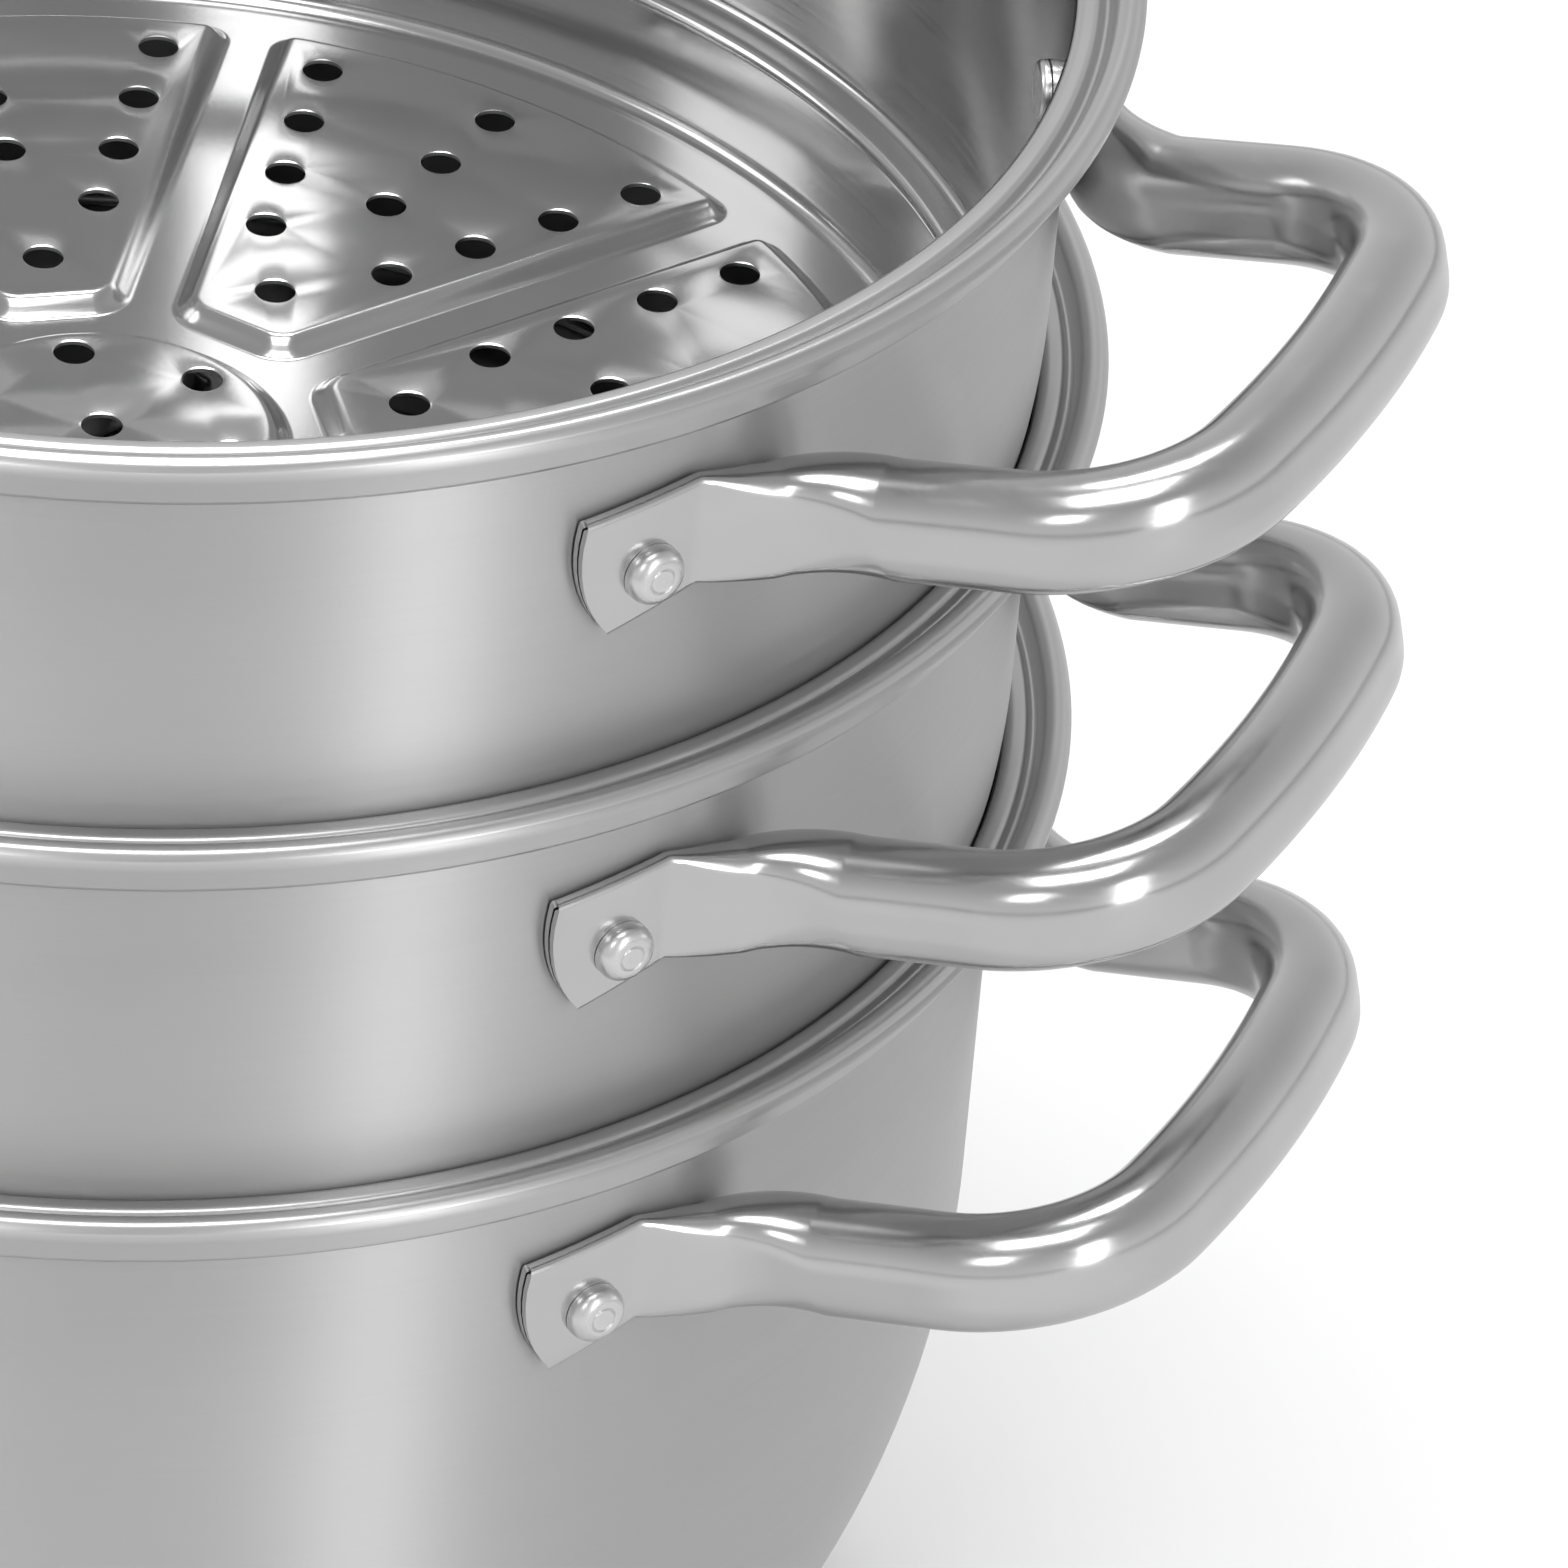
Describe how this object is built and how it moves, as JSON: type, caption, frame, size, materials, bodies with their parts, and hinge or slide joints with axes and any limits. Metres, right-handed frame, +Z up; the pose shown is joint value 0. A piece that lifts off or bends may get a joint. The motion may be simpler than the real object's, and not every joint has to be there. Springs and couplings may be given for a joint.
{
  "type": "tiered steamer pot",
  "caption": "Stainless steel pot with stacked, pierced steamer baskets that lift off one another, each with two riveted loop handles.",
  "frame": {"origin": "on the pot's axis, in the plane it stands on", "axes": "+Z up along the pot's axis, +X through the middle of the right-hand handles, -Y towards the viewer"},
  "size_m": [0.4014, 0.2996, 0.3196],
  "materials": {
    "drawn_steel": "satin outside, mirror-polished rim and inside",
    "handle_steel": "polished",
    "rivet_steel": "turned, satin",
    "base_aluminium": "plain rolled",
    "base_steel": "satin with circular grain"
  },
  "bodies": {
    "pot": {"pot_shell": "drawn_steel", "base_core": "base_aluminium", "base_cap": "base_steel", "pot_handle_right": "handle_steel", "pot_rivet_right_front": "rivet_steel", "pot_rivet_right_back": "rivet_steel", "pot_handle_left": "handle_steel", "pot_rivet_left_front": "rivet_steel", "pot_rivet_left_back": "rivet_steel"},
    "middle_basket": {"middle_basket_shell": "drawn_steel", "middle_basket_handle_right": "handle_steel", "middle_basket_rivet_right_front": "rivet_steel", "middle_basket_rivet_right_back": "rivet_steel", "middle_basket_handle_left": "handle_steel", "middle_basket_rivet_left_front": "rivet_steel", "middle_basket_rivet_left_back": "rivet_steel"},
    "upper_basket": {"upper_basket_shell": "drawn_steel", "upper_basket_handle_right": "handle_steel", "upper_basket_rivet_right_front": "rivet_steel", "upper_basket_rivet_right_back": "rivet_steel", "upper_basket_handle_left": "handle_steel", "upper_basket_rivet_left_front": "rivet_steel", "upper_basket_rivet_left_back": "rivet_steel"}
  },
  "joints": [
    {"name": "middle_basket_lift", "type": "slide", "parent": "pot", "child": "middle_basket", "axis": [0, 0, 1], "range_m": [0, 0.12]},
    {"name": "upper_basket_lift", "type": "slide", "parent": "middle_basket", "child": "upper_basket", "axis": [0, 0, 1], "range_m": [0, 0.12]}
  ]
}
